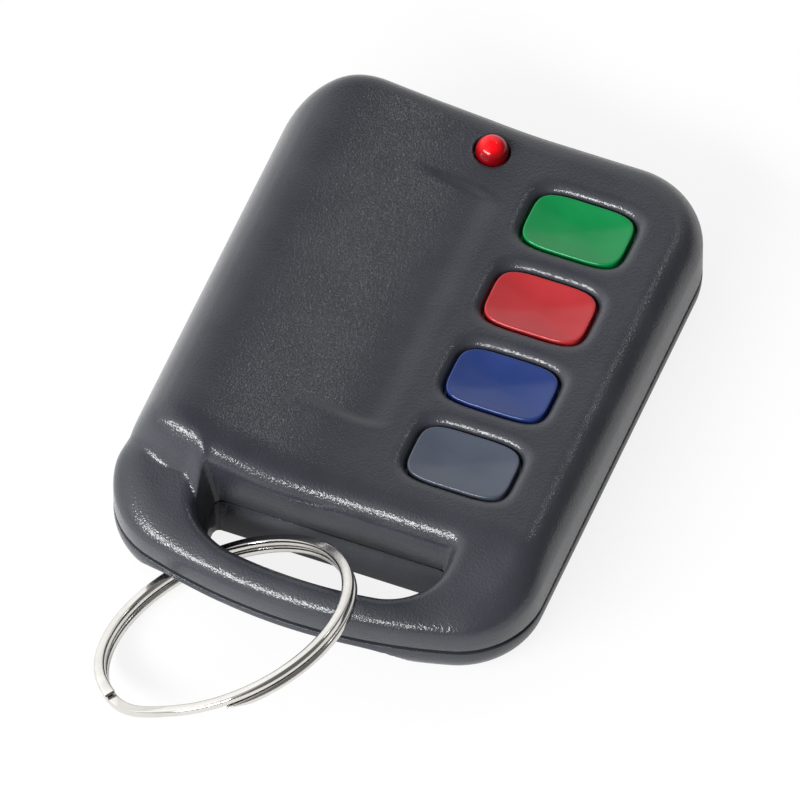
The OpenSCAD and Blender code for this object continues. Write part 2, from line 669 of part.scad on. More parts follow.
// Coil spring, one unbroken wire
spring_path = [for (i = [0:spring_turns*14])
  let (a = 360*i/14, h = spring_wire/2 + 0.02 + (spring_len - spring_wire - 0.04)*i/(spring_turns*14),
    r = spring_d/2 - spring_wire/2 - 0.35*i/(spring_turns*14))
  [r*cos(a), r*sin(a), h, a]];
module negative_spring() {
  sec = [for (j = [0:5]) spring_wire/2*[cos(60*j), sin(60*j)]];
  color(metal) translate([battery_x, battery_lo - spring_len, battery_z]) rotate([-90, 0, 0]) loft(
    [for (p = spring_path) [for (s = flip(sec)) [p[0] + s[0]*cos(p[3]), p[1] + s[0]*sin(p[3]), p[2] + s[1]]]]);
}
spring_least = min([for (i = [0:len(spring_path) - 15]) abs(spring_path[i + 14][2] - spring_path[i][2])]) - spring_wire;
echo(str("contact spring: least gap between turns ", spring_least, " mm"));

module encoder_chip() {
  color([0.08, 0.08, 0.09]) translate([chip_x, chip_y, pcb_top]) {
    translate([-chip_w/2, -chip_l/2, 0.15]) cube([chip_w, chip_l, chip_h]);
    for (s = [-1, 1], j = [-3.5:1:3.5]) translate([s > 0 ? chip_w/2 : -chip_w/2 - pin_l, (j*0.127 - 0.02)*chip_l, 0]) {
      cube([pin_l, 0.04*chip_l, chip_h*0.4]);
    }
  }
}
module saw_resonator() {
  color(metal) translate([chip_x, saw_y, pcb_top]) {
    cylinder(d = saw_d, h = saw_h*0.15);
    translate([0, 0, saw_h*0.15]) cylinder(d = saw_d*0.85, h = saw_h*0.85);
  }
}
module rf_transistor() {
  color([0.09, 0.09, 0.10]) translate([chip_x + rf_l, rf_y, pcb_top]) {
    translate([-rf_w/2, -rf_l/2, 0.1]) cube([rf_w, rf_l, rf_h]);
    for (y = [-0.33, 0.33]) translate([rf_w/2, y*rf_l - 0.2, 0]) cube([0.5, 0.4, rf_h/2]);
    translate([-rf_w/2 - 0.5, -0.2, 0]) cube([0.5, 0.4, rf_h/2]);
  }
}
module trimmer_capacitor() {
  color([0.75, 0.55, 0.25]) translate([chip_x, trimmer_y, pcb_top]) {
    translate([-trimmer_w/2, -trimmer_l/2, 0]) cube([trimmer_w, trimmer_l, trimmer_h*0.57]);
    translate([0, 0, trimmer_h*0.57]) cylinder(d = trimmer_l*0.87, h = trimmer_h*0.43);
  }
}
module small_parts(list, size, c) {
  color(c) for (p = list) translate([p[0] - size[0]/2, p[1] - size[1]/2, pcb_top]) cube(size);
}
module chip_resistors() {
  dx = resistor_l/2 + part_gap/2;
  y2 = resistor_y + resistor_w + part_gap;
  small_parts([[chip_x - dx, resistor_y], [chip_x + dx, resistor_y], [chip_x - dx, y2], [chip_x + dx, y2],
    [chip_x - dx, capacitor_y]], [resistor_l, resistor_w, resistor_h], [0.15, 0.15, 0.16]);
}
module chip_capacitors() {
  small_parts([[chip_x - rf_l, rf_y], [chip_x - rf_l + capacitor_w + part_gap, rf_y], [chip_x + capacitor_w, capacitor_y],
    [chip_x + trimmer_w/2 + part_gap + capacitor_w/2, trimmer_y]], [capacitor_w, capacitor_l, capacitor_h], [0.72, 0.60, 0.42]);
}

// Wire hoop standing on the board at the lamp end
module loop_antenna() {
  y = pcb_plan[1] - 1 - hoop_t/2;
  x0 = led_x + led_collar_d/2 + 2;
  x1 = body_cx + 1;
  color([0.72, 0.45, 0.20]) translate([0, y - hoop_t/2, pcb_top]) {
    for (x = [x0, x1 - hoop_t]) translate([x, 0, 0]) cube([hoop_t, hoop_t, hoop_h]);
    translate([x0, 0, hoop_h - hoop_t]) cube([x1 - x0, hoop_t, hoop_t]);
  }
}

module case_screws() {
  color(metal) for (p = screw_pos) translate([p[0], p[1], screw_sink - screw_head_h]) {
    cylinder(d = screw_head_d, h = screw_head_h);
    translate([0, 0, screw_head_h]) cylinder(d = screw_d, h = screw_len - screw_tip);
    translate([0, 0, screw_head_h + screw_len - screw_tip]) cylinder(d1 = screw_d, d2 = screw_d*0.36, h = screw_tip);
  }
}

// Split ring: one flat wire wound nearly two turns, stepping from the lower turn to the upper one
function ring_level(a) = (ring_wire_t + ring_gap)*(ease(340, 380, a) - 0.5);
ring_angles = [for (a = [26:9:694]) a];
module split_ring() {
  w = ring_wire_w/2;
  t = ring_wire_t/2;
  k = 0.16;
  sec = [[w - k, -t], [w, k - t], [w, t - k], [w - k, t], [k - w, t], [-w, t - k], [-w, k - t], [k - w, -t]];
  color(metal) translate([ring_x, ring_y, ring_z]) rotate([0, 0, ring_heading])
    rotate([0, -ring_tilt, 0]) rotate([0, 0, ring_step_at]) loft([for (a = ring_angles)
      [for (s = flip(sec)) [(ring_r + s[0])*cos(a), (ring_r + s[0])*sin(a), ring_level(a) + s[1]]]]);
}
ring_least = min([for (a = ring_angles) for (b = ring_angles) if (b - a > 180)
  norm([ring_r*(cos(a) - cos(b)), ring_r*(sin(a) - sin(b)), ring_level(a) - ring_level(b)])]) - ring_wire_t;
echo(str("split ring: least gap between turns ", ring_least, " mm"));

top_shell();
bottom_shell();
green_button();
red_button();
blue_button();
grey_button();
led_lens();
led_leads();
circuit_board();
green_switch();
red_switch();
blue_switch();
grey_switch();
green_plunger();
red_plunger();
blue_plunger();
grey_plunger();
switch_covers();
battery();
positive_contact();
negative_plate();
negative_spring();
encoder_chip();
saw_resonator();
rf_transistor();
trimmer_capacitor();
chip_resistors();
chip_capacitors();
loop_antenna();
case_screws();
split_ring();
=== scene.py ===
import math
import bpy
import bmesh
from mathutils import Vector, Matrix


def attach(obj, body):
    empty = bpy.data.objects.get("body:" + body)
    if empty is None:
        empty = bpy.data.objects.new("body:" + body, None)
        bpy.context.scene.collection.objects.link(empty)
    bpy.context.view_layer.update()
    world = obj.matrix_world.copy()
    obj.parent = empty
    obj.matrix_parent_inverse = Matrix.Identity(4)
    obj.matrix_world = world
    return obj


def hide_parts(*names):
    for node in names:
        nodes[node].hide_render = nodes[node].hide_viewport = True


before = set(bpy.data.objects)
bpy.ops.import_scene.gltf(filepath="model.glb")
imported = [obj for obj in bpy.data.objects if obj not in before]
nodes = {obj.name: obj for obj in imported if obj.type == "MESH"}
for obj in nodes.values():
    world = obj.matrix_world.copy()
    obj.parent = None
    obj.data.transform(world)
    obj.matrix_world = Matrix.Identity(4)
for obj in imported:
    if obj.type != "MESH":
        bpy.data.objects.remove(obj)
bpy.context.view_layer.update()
print("frame loaded:", len(nodes), "nodes")

mm = 0.001  # pieces are drawn in millimetres and scaled once at the end


# Shared shape helpers

meshing = dict(slopeStep=1e-4, settleRounds=5, leastSlope=1e-6, weldShare=0.35, mergeGap=1e-4)


def ease(a, b, v):
    t = min(1.0, max(0.0, (v - a) / (b - a)))
    return t * t * (3 - 2 * t)


def softMin(a, b, k):
    return min(a, b) - max(k - abs(a - b), 0.0) ** 2 / (4 * k)


def planDepth(plan, x, y):
    # distance inside a rounded plan with a bowed lower edge, negative outside
    half, top, topR, low, lowR, bow = plan
    ax, bowY = abs(x), low + bow
    hx, hy, lx = half - topR, top - topR, half - lowR
    ly = bowY - math.sqrt((bow - lowR) ** 2 - lx * lx)
    if y > hy and ax > hx:
        return topR - math.hypot(ax - hx, y - hy)
    if y < ly and lx * (y - bowY) - (ly - bowY) * ax > 0:
        return lowR - math.hypot(ax - lx, y - ly)
    return min(half - ax, top - y, bow - math.hypot(x, y - bowY))


def slopeOf(field, x, y):
    h = meshing["slopeStep"]
    alongX = field(x + h, y) - field(x - h, y)
    alongY = field(x, y + h) - field(x, y - h)
    return Vector((alongX, alongY)) / (2 * h)


def settle(field, level, p):
    # slide a point along the slope of a field until it lies on a level
    for _ in range(meshing["settleRounds"]):
        g = slopeOf(field, p.x, p.y)
        p = p + g * ((level - field(p.x, p.y)) / max(g.length_squared, meshing["leastSlope"]))
    return p


def quarterRound(inset, drop, angles):
    # how far in and how far down each point round a quarter circle lies
    turns = [math.radians(a) for a in angles]
    return [(inset * (1 - math.cos(t)), drop * (1 - math.sin(t))) for t in turns]


def openLoop(bm, tagLayer, tag):
    return [e for e in bm.edges if e.is_boundary and all(v[tagLayer] == tag for v in e.verts)]


def newEdges(made, fresh):
    return [e for e in made if isinstance(e, bmesh.types.BMEdge) and all(v in fresh for v in e.verts)]


def pullRing(bm, edges, place):
    # extrude an open edge loop and put each new point where place says
    made = bmesh.ops.extrude_edge_only(bm, edges=edges)["geom"]
    fresh = {v for v in made if isinstance(v, bmesh.types.BMVert)}
    for v in fresh:
        v.co = place(v.co.copy())
    return newEdges(made, fresh)


def offsetStep(field):
    # step along the slope of a true distance field to a new level
    def step(p, level):
        g = slopeOf(field, p.x, p.y).normalized()
        return p.xy + g * (level - field(p.x, p.y))
    return step


def roundStep(x, y):
    # step to a new radius round a middle
    mid = Vector((x, y))
    return lambda p, radius: mid + (p.xy - mid).normalized() * radius


def ringOn(step, level, height):
    # put a ring on a level, at the height given for each of its points
    def place(p):
        q = step(p, level)
        return Vector((q.x, q.y, height(q.x, q.y)))
    return place


def trimmedSheet(size, cell, holes, cuts=()):
    # flat grid, cut back to the levels of the given fields, with its open edges settled on them
    bm = bmesh.new()
    tagLayer = bm.verts.layers.int.new("edgeTag")
    bmesh.ops.create_grid(bm, x_segments=int(size[0] / cell), y_segments=int(size[1] / cell), size=0.5)
    bmesh.ops.scale(bm, vec=(size[0], size[1], 1), verts=bm.verts)
    for y in cuts:
        whole = bm.verts[:] + bm.edges[:] + bm.faces[:]
        bmesh.ops.bisect_plane(bm, geom=whole, plane_co=(0, y, 0), plane_no=(0, 1, 0))
    gone = []
    for f in bm.faces:
        c = f.calc_center_median()
        if any(field(c.x, c.y) < level for field, level in holes):
            gone.append(f)
    bmesh.ops.delete(bm, geom=gone, context="FACES")
    for v in bm.verts:
        if v.is_boundary:
            near = min(range(len(holes)), key=lambda i: abs(holes[i][0](v.co.x, v.co.y) - holes[i][1]))
            p = settle(holes[near][0], holes[near][1], v.co.xy)
            v.co = (p.x, p.y, 0)
            v[tagLayer] = near + 1
    rimVerts = [v for v in bm.verts if v.is_boundary]
    bmesh.ops.remove_doubles(bm, verts=rimVerts, dist=cell * meshing["weldShare"])
    return bm, tagLayer


def cleanMesh(bm):
    bmesh.ops.remove_doubles(bm, verts=bm.verts, dist=meshing["mergeGap"])
    bmesh.ops.recalc_face_normals(bm, faces=bm.faces)


def finishPiece(name, bm, body, material, stands=(), sharpAngle=38):
    # scale to metres, mark the sharp edges, and set the piece on its body
    bmesh.ops.scale(bm, vec=(mm, mm, mm), verts=bm.verts)
    for f in bm.faces:
        f.smooth = True
    for e in bm.edges:
        if len(e.link_faces) == 2 and e.calc_face_angle(0) > math.radians(sharpAngle):
            e.smooth = False
    mesh = bpy.data.meshes.new(name)
    bm.to_mesh(mesh)
    bm.free()
    mesh.materials.append(material)
    piece = bpy.data.objects.new(name, mesh)
    bpy.context.scene.collection.objects.link(piece)
    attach(piece, body)
    if stands:
        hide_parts(*stands)
    print("piece", name, len(mesh.polygons), "faces")
    return piece


def thicken(piece, thickness):
    wall = piece.modifiers.new("wall", "SOLIDIFY")
    wall.thickness = thickness * mm
    wall.offset = -1
    wall.use_even_offset = False


# Shared node helpers: each gives back the socket that the next node reads

def newFinish(name):
    material = bpy.data.materials.new(name)
    material.use_nodes = True
    tree = material.node_tree
    shader = tree.nodes["Principled BSDF"]
    place = tree.nodes.new("ShaderNodeTexCoord").outputs["Object"]
    return material, tree, shader, place


def noiseNode(tree, place, scale, detail=2.0, roughness=0.5):
    noise = tree.nodes.new("ShaderNodeTexNoise")
    noise.inputs["Scale"].default_value = scale
    noise.inputs["Detail"].default_value = detail
    noise.inputs["Roughness"].default_value = roughness
    tree.links.new(place, noise.inputs["Vector"])
    return noise.outputs["Fac"]


def rampNode(tree, source, stops):
    ramp = tree.nodes.new("ShaderNodeValToRGB")
    while len(ramp.color_ramp.elements) < len(stops):
        ramp.color_ramp.elements.new(0.5)
    for element, (position, colour) in zip(ramp.color_ramp.elements, stops):
        element.position = position
        element.color = (*colour, 1)
    tree.links.new(source, ramp.inputs["Fac"])
    return ramp.outputs["Color"]


def rangeNode(tree, source, low, high, fromLow=0.3, fromHigh=0.7, blend="LINEAR"):
    spread = tree.nodes.new("ShaderNodeMapRange")
    spread.interpolation_type = blend
    spread.inputs["From Min"].default_value = fromLow
    spread.inputs["From Max"].default_value = fromHigh
    spread.inputs["To Min"].default_value = low
    spread.inputs["To Max"].default_value = high
    tree.links.new(source, spread.inputs["Value"])
    return spread.outputs["Result"]


def bumpNode(tree, source, strength, distance, under=None):
    bump = tree.nodes.new("ShaderNodeBump")
    bump.inputs["Strength"].default_value = strength
    bump.inputs["Distance"].default_value = distance
    tree.links.new(source, bump.inputs["Height"])
    if under is not None:
        tree.links.new(under, bump.inputs["Normal"])
    return bump.outputs["Normal"]


def mathNode(tree, operation, *values):
    node = tree.nodes.new("ShaderNodeMath")
    node.operation = operation
    for socket, value in zip(node.inputs, values):
        if isinstance(value, (int, float)):
            socket.default_value = value
        else:
            tree.links.new(value, socket)
    return node.outputs[0]


def vectorNode(tree, operation, source, other=None):
    node = tree.nodes.new("ShaderNodeVectorMath")
    node.operation = operation
    tree.links.new(source, node.inputs[0])
    if other is not None:
        node.inputs[1].default_value = other
    return node.outputs


# Finishes

grainLook = dict(
    dark=(0.027, 0.029, 0.038), light=(0.033, 0.035, 0.045), cloud=260, coarse=5000, fine=11000,
    depth=3.4e-5, fineDepth=0.3, fineStrength=0.5, smooth=0.42, rough=0.54, gloss=0.25,
    sparkle=0.65, sparkleRough=0.11,
)


def grainedCase():
    look = grainLook
    material, tree, shader, place = newFinish("grainedCase")
    coarse = noiseNode(tree, place, look["coarse"], 1.0)
    fine = noiseNode(tree, place, look["fine"], 1.0)
    cloudy = noiseNode(tree, place, look["cloud"])
    tint = rampNode(tree, cloudy, [(0.35, look["dark"]), (0.65, look["light"])])
    tree.links.new(tint, shader.inputs["Base Color"])
    rough = rangeNode(tree, fine, look["smooth"], look["rough"])
    tree.links.new(rough, shader.inputs["Roughness"])
    shader.inputs["Specular IOR Level"].default_value = look["gloss"]
    small = bumpNode(tree, fine, look["fineStrength"], look["depth"] * look["fineDepth"])
    grain = bumpNode(tree, coarse, 1.0, look["depth"], small)
    tree.links.new(grain, shader.inputs["Normal"])
    # the skin of the moulding glints on the crests of the grain
    shader.inputs["Coat Weight"].default_value = look["sparkle"]
    shader.inputs["Coat Roughness"].default_value = look["sparkleRough"]
    tree.links.new(grain, shader.inputs["Coat Normal"])
    return material


keyLook = dict(cloud=420, swirl=900, swirlRough=0.4, smooth=0.15, rough=0.21, wave=0.10, waveDepth=6e-6)


def glossyKey(name, colour, deep):
    look = keyLook
    material, tree, shader, place = newFinish(name)
    cloudy = noiseNode(tree, place, look["cloud"])
    tint = rampNode(tree, cloudy, [(0.3, deep), (0.7, colour)])
    tree.links.new(tint, shader.inputs["Base Color"])
    swirl = noiseNode(tree, place, look["swirl"], 1.0, look["swirlRough"])
    rough = rangeNode(tree, swirl, look["smooth"], look["rough"])
    tree.links.new(rough, shader.inputs["Roughness"])
    wave = bumpNode(tree, swirl, look["wave"], look["waveDepth"])
    tree.links.new(wave, shader.inputs["Normal"])
    return material


lamp = dict(
    x=-0.85, y=22.95, d=3.0, gap=0.15, out=1.45, height=5.3, collar=3.8, collarH=0.9, seatR=0.18, well=1.0,
    seatAngles=(60, 30, 0), domeStep=6, facets=64,
)
# red of the lens, with a painted glow colour for the middle of the dome and a painted shade colour for its
# rim
resinLook = dict(
    paintedGlow=(1.0, 0.005, 0.012), body=(0.86, 0.003, 0.008), rim=(0.20, 0.001, 0.004), bodyAt=0.60, paintedShadeAt=0.98,
    cloud=700, wobble=0.12, rough=0.16, gloss=0.3,
)


def lampResin():
    # painted light: the base colour is painted brightest at the middle of the dome as a glow, and dark at
    # its rim as painted shade of the lens edge
    look = resinLook
    material, tree, shader, place = newFinish("lampResin")
    shifted = vectorNode(tree, "SUBTRACT", place, (lamp["x"] * mm, lamp["y"] * mm, 0))["Vector"]
    flat = vectorNode(tree, "MULTIPLY", shifted, (1, 1, 0))["Vector"]
    reach = vectorNode(tree, "LENGTH", flat)["Value"]
    # 0 at the middle of the dome to 1 at its rim: the mask that places the painted glow and the painted rim
    # shade
    edge = rangeNode(tree, reach, 0, 1, 0, lamp["d"] / 2 * mm)
    cloudy = noiseNode(tree, place, look["cloud"])
    uneven = mathNode(tree, "MULTIPLY_ADD", cloudy, look["wobble"], edge)
    stops = [(0.0, look["paintedGlow"]), (look["bodyAt"], look["body"]), (look["paintedShadeAt"], look["rim"])]
    tree.links.new(rampNode(tree, uneven, stops), shader.inputs["Base Color"])
    shader.inputs["Roughness"].default_value = look["rough"]
    shader.inputs["Specular IOR Level"].default_value = look["gloss"]
    return material


platingLook = dict(cloud=300, dull=0.86, scratch=3000, smooth=0.75, scuffed=1.4, dent=0.08, dentDepth=4e-6)


def plating(name, colour, rough):
    look = platingLook
    material, tree, shader, place = newFinish(name)
    cloudy = noiseNode(tree, place, look["cloud"], 3.0, 0.6)
    tint = rampNode(tree, cloudy, [(0.3, tuple(c * look["dull"] for c in colour)), (0.7, colour)])
    tree.links.new(tint, shader.inputs["Base Color"])
    shader.inputs["Metallic"].default_value = 1.0
    scuff = noiseNode(tree, place, look["scratch"], 2.0, 0.6)
    spread = rangeNode(tree, scuff, rough * look["smooth"], rough * look["scuffed"])
    tree.links.new(spread, shader.inputs["Roughness"])
    dents = bumpNode(tree, scuff, look["dent"], look["dentDepth"])
    tree.links.new(dents, shader.inputs["Normal"])
    return material


insideLook = dict(mottle=900, smooth=0.85, rough=1.15)


def plainPart(name, dark, light, rough):
    look = insideLook
    material, tree, shader, place = newFinish(name)
    mottle = noiseNode(tree, place, look["mottle"], 3.0, 0.55)
    tint = rampNode(tree, mottle, [(0.35, dark), (0.65, light)])
    tree.links.new(tint, shader.inputs["Base Color"])
    spread = rangeNode(tree, mottle, rough * look["smooth"], rough * look["rough"])
    tree.links.new(spread, shader.inputs["Roughness"])
    return material


caseFinish = grainedCase()
greenFinish = glossyKey("greenKey", (0.002, 0.228, 0.058), (0.001, 0.208, 0.052))
redFinish = glossyKey("redKey", (0.430, 0.029, 0.034), (0.400, 0.025, 0.030))
blueFinish = glossyKey("blueKey", (0.019, 0.042, 0.170), (0.016, 0.036, 0.154))
greyFinish = glossyKey("greyKey", (0.070, 0.083, 0.113), (0.062, 0.074, 0.102))
lampFinish = lampResin()
ringFinish = plating("nickelRing", (0.74, 0.72, 0.685), 0.12)
steelFinish = plating("tinnedSteel", (0.66, 0.66, 0.67), 0.30)
copperFinish = plating("copperWire", (0.80, 0.42, 0.20), 0.30)
boardFinish = plainPart("boardMask", (0.035, 0.17, 0.07), (0.05, 0.22, 0.10), 0.35)
switchFinish = plainPart("switchBlack", (0.018, 0.018, 0.02), (0.03, 0.03, 0.032), 0.45)
plungerFinish = plainPart("plungerCream", (0.60, 0.56, 0.45), (0.70, 0.66, 0.55), 0.45)
sleeveFinish = plainPart("cellSleeve", (0.28, 0.21, 0.06), (0.36, 0.28, 0.09), 0.30)
chipFinish = plainPart("chipResin", (0.014, 0.014, 0.016), (0.022, 0.022, 0.024), 0.55)
ceramicFinish = plainPart("ceramicBody", (0.46, 0.34, 0.18), (0.58, 0.45, 0.26), 0.5)
print("finishes made:", len(bpy.data.materials))


# Case: shared form of both halves

case = dict(
    width=40.0, length=55.2, cornerR=8.0, bowR=50.0, partZ=3.8, deckZ=9.9, upright=0.48, shoulder=3.0,
    barW=2.9, barZ=7.3, barFlat=0.6, deckRun=1.1,
)
hump = dict(
    height=3.3, foot=3.5, power=1.85, ridge=-13.0, soft=1.6, fall=2.7, endIn=1.9, turn=4.4, bend=4.6,
    deckFall=2.5, deckEndIn=4.5, rootX=-13.5, deckX=-10.0, sidePower=0.5, endPower=1.0, deckPower=0.3,
    upright=0.15, shoulder=3.5, shoulderFrom=-2.0, shoulderFull=-14.4, shoulderLow=2.0, shoulderHigh=2.5,
)
slot = dict(
    inset=10.1, width=23.2, topR=0.6, lowR=5.6, rim=1.5, draft=0.7, lean=0.5, bevel=0.25, topLean=0.55,
    leanFrom=-24.5, leanFull=-20.0, bulge=0.6, bulgeFrom=2.0, bulgeFull=-7.5,
)
halfW, halfL = case["width"] / 2, case["length"] / 2
slotY = slot["inset"] - halfL
barBack = case["barW"] * case["barFlat"] - halfL
humpY = slotY - hump["endIn"]
bodyPlan = (halfW, halfL, case["cornerR"], -halfL, case["cornerR"], case["bowR"])
slotFront = (case["barW"] - halfL, slot["lowR"], case["bowR"] - case["barW"])
slotPlan = (slot["width"] / 2, slotY, slot["topR"], *slotFront)
slotMid = (slot["width"] / 2 - slot["draft"], slotY, slot["topR"], *slotFront)
slotBase = (slot["width"] / 2 - slot["draft"], slotY - slot["lean"], slot["topR"], *slotFront)

label = dict(
    right=1.1, width=9.2, length=27.7, midY=4.65, depth=0.3, cornerR=0.8, slopeOut=0.35, slopeIn=0.45,
    fade=0.3, deepIn=2.0,
)
keys = dict(
    x=9.3, ys=(18.06, 8.82, -0.42, -9.66), width=9.4, length=6.2, power=4.2, gap=0.25, scoop=1.15,
    scoopDrop=0.85, wall=1.6, rimDrop=0.4, dish=0.4, edge=0.16, flange=0.8, flangeT=0.8, flangeSide=0.15,
    low=7.4, inner=1.1, roof=1.1, points=120, edgeAngles=range(0, 91, 10), dishSteps=25,
)
barrelSearch = dict(reach=3.0, least=0.01, most=6.0, rounds=30)


def bodyDepth(x, y):
    return planDepth(bodyPlan, x, y)


def unlean(x, y):
    # the back of the slot leans forward at the rim, most of all where the end of the hump bulges over it
    lean = slot["topLean"] + slot["bulge"] * ease(slot["bulgeFrom"], slot["bulgeFull"], x)
    return Vector((x, y + lean * ease(slot["leanFrom"], slot["leanFull"], y), 0.0))


def slotGap(x, y):
    return -planDepth(slotPlan, *unlean(x, y).xy)


def slotMidGap(x, y):
    return -planDepth(slotMid, x, y)


def slotBaseGap(x, y):
    return -planDepth(slotBase, x, y)


def humpRise(x, y):
    # the outer side of the hump turns in towards the end beside the slot
    h = hump
    bend = min(1.0, max(0.0, 1 - (y - humpY) / h["bend"])) ** 2
    edge = h["turn"] * bend - halfW
    q = max(0.0, h["ridge"] - max(x, -halfW)) / (h["ridge"] - edge)
    side = h["height"] * max(0.0, 1 - q * q) ** (h["sidePower"] + bend)
    slope = h["height"] * max(0.0, (h["foot"] - x) / (h["foot"] - h["ridge"])) ** h["power"]
    return max(0.0, softMin(side, slope, h["soft"])) if slope > 0 else 0.0


def humpEnd(x, y):
    # beside the slot the end of the hump falls to the bar, over the slot the rim cuts it off first
    h = hump
    share = ease(h["rootX"], h["deckX"], x)
    foot = humpY + (h["endIn"] - h["deckEndIn"]) * share
    fall = h["fall"] + (h["deckFall"] - h["fall"]) * share
    t = min(1.0, max(0.0, (y - foot) / fall))
    return math.sin(math.pi / 2 * t) ** (h["endPower"] + h["deckPower"] * share)


def crownZ(x, y):
    deckStart = slotY + slot["rim"] + case["deckRun"]
    deck = case["barZ"] + (case["deckZ"] - case["barZ"]) * ease(barBack, deckStart, y)
    return deck + humpRise(x, y) * humpEnd(x, y)


def skinZ(x, y, depth=None):
    # the crown of the case, rounded down to the parting line all round
    d = bodyDepth(x, y) if depth is None else depth
    share = ease(hump["shoulderFrom"], hump["shoulderFull"], x)
    share *= ease(slotY - hump["shoulderLow"], slotY + hump["shoulderHigh"], y)
    width = case["shoulder"] + (hump["shoulder"] - case["shoulder"]) * share
    stand = case["upright"] + (hump["upright"] - case["upright"]) * share
    u = min(1.0, max(0.0, d / width))
    rise = math.sqrt(1 - (1 - u) ** 2)
    return case["partZ"] + (crownZ(x, y) - case["partZ"]) * (stand + (1 - stand) * rise)


def labelEdge(x, y):
    # signed distance to the bare recess, negative inside, its two long sides fading out
    half = label["width"] / 2
    qx = (abs(x - label["right"] + half) - half) * label["fade"] + label["cornerR"]
    qy = abs(y - label["midY"]) - label["length"] / 2 + label["cornerR"]
    return math.hypot(max(qx, 0), max(qy, 0)) + min(max(qx, qy), 0) - label["cornerR"]


def faceZ(x, y):
    z = skinZ(x, y)
    away = labelEdge(x, y)
    if away < label["slopeOut"]:
        # flush with the hump on the left, deepest on the right
        left = label["right"] - label["width"]
        deep = label["depth"] * ease(left, label["right"] - label["deepIn"], x)
        z = z - deep * ease(label["slopeOut"], -label["slopeIn"], away)
    return z


def keyGrow(x, y):
    # how much larger than the key a barrel through this point is
    a, b, n = keys["width"] / 2, keys["length"] / 2, keys["power"]
    ax, ay = abs(x), abs(y)
    if ax > a + barrelSearch["reach"] or ay > b + barrelSearch["reach"]:
        return max(ax - a, ay - b)
    lo, hi = -b + barrelSearch["least"], barrelSearch["most"]
    for _ in range(barrelSearch["rounds"]):
        g = (lo + hi) / 2
        if (ax / (a + g)) ** n + (ay / (b + g)) ** n > 1:
            lo = g
        else:
            hi = g
    return (lo + hi) / 2


def keyField(ky):
    return lambda x, y: keyGrow(x - keys["x"], y - ky)


def lampField(x, y):
    return math.hypot(x - lamp["x"], y - lamp["y"])


# Upper half: a sheet trimmed to its openings, then rims and walls pulled from the open edges

upper = dict(
    cell=0.30, edgeIn=0.6, wall=1.0, sharp=28, seam=0.05, roundAngles=range(80, -1, -10),
    edgeSteps=(0.44, 0.30, 0.19, 0.11, 0.05, 0.015, 0.0), lip=((0.0, 0.20), (0.04, 0.07), (0.12, 0.0)),
    slotWallEnd=0.12, slotLip=((0.05, 0.05), (0.12, 0.04)),
)
keyRim = keys["gap"] + keys["scoop"]
lampHole = lamp["d"] / 2 + lamp["gap"]
upperHoles = [(bodyDepth, upper["edgeIn"]), (slotGap, slot["rim"])]
upperHoles += [(keyField(ky), keyRim) for ky in keys["ys"]]
upperHoles += [(lampField, lampHole + lamp["seatR"])]
# cut lines keep the pockets of the keys apart and lay an edge along the foot of the hump's end
cutLines = []
for a, b in zip(keys["ys"], keys["ys"][1:]):
    cutLines += [(a + b) / 2 - upper["seam"], (a + b) / 2 + upper["seam"]]
cutLines.append(humpY)
bm, tagLayer = trimmedSheet((case["width"], case["length"]), upper["cell"], upperHoles, cutLines)
for v in bm.verts:
    v.co.z = faceZ(v.co.x, v.co.y)

loop = openLoop(bm, tagLayer, 1)
step = offsetStep(bodyDepth)
for d in upper["edgeSteps"]:
    loop = pullRing(bm, loop, ringOn(step, d, lambda x, y: skinZ(x, y, d)))
for inset, up in upper["lip"]:
    loop = pullRing(bm, loop, ringOn(step, inset, lambda x, y: case["partZ"] + up))

loop = openLoop(bm, tagLayer, 2)
step = offsetStep(slotGap)
for inset, drop in quarterRound(slot["rim"], slot["rim"], upper["roundAngles"]):
    loop = pullRing(bm, loop, ringOn(step, inset, lambda x, y: skinZ(x, y) - drop))
step = offsetStep(slotMidGap)
wallEnd = case["partZ"] + upper["slotWallEnd"]
loop = pullRing(bm, loop, lambda p: Vector((*step(unlean(p.x, p.y), 0.0), wallEnd)))
for inset, up in upper["slotLip"]:
    loop = pullRing(bm, loop, ringOn(step, inset, lambda x, y: case["partZ"] + up))

for i, ky in enumerate(keys["ys"]):
    loop = openLoop(bm, tagLayer, 3 + i)
    old = keyRim
    a, b = keys["width"] / 2, keys["length"] / 2
    rings = quarterRound(keys["scoop"], keys["scoopDrop"], upper["roundAngles"]) + [(0.0, keys["wall"])]
    mid = Vector((keys["x"], ky, 0))
    for inset, drop in rings:
        g = keys["gap"] + inset
        shrink = Vector(((a + g) / (a + old), (b + g) / (b + old), 0))
        level = Vector((0, 0, case["deckZ"] - drop))
        loop = pullRing(bm, loop, lambda p: mid + (p - mid) * shrink + level)
        old = g

loop = openLoop(bm, tagLayer, 3 + len(keys["ys"]))
lampZ = skinZ(lamp["x"], lamp["y"])
step = roundStep(lamp["x"], lamp["y"])
for inset, drop in quarterRound(lamp["seatR"], lamp["seatR"], lamp["seatAngles"]):
    loop = pullRing(bm, loop, ringOn(step, lampHole + inset, lambda x, y: skinZ(x, y) - drop))
loop = pullRing(bm, loop, ringOn(step, lampHole, lambda x, y: lampZ - lamp["well"]))
caseTop = finishPiece("caseTop", bm, "case", caseFinish, ("top_shell",), upper["sharp"])
thicken(caseTop, upper["wall"])


# Lower half: the flat back with its rounded edge, the arch under the bar, the slot and the screw holes

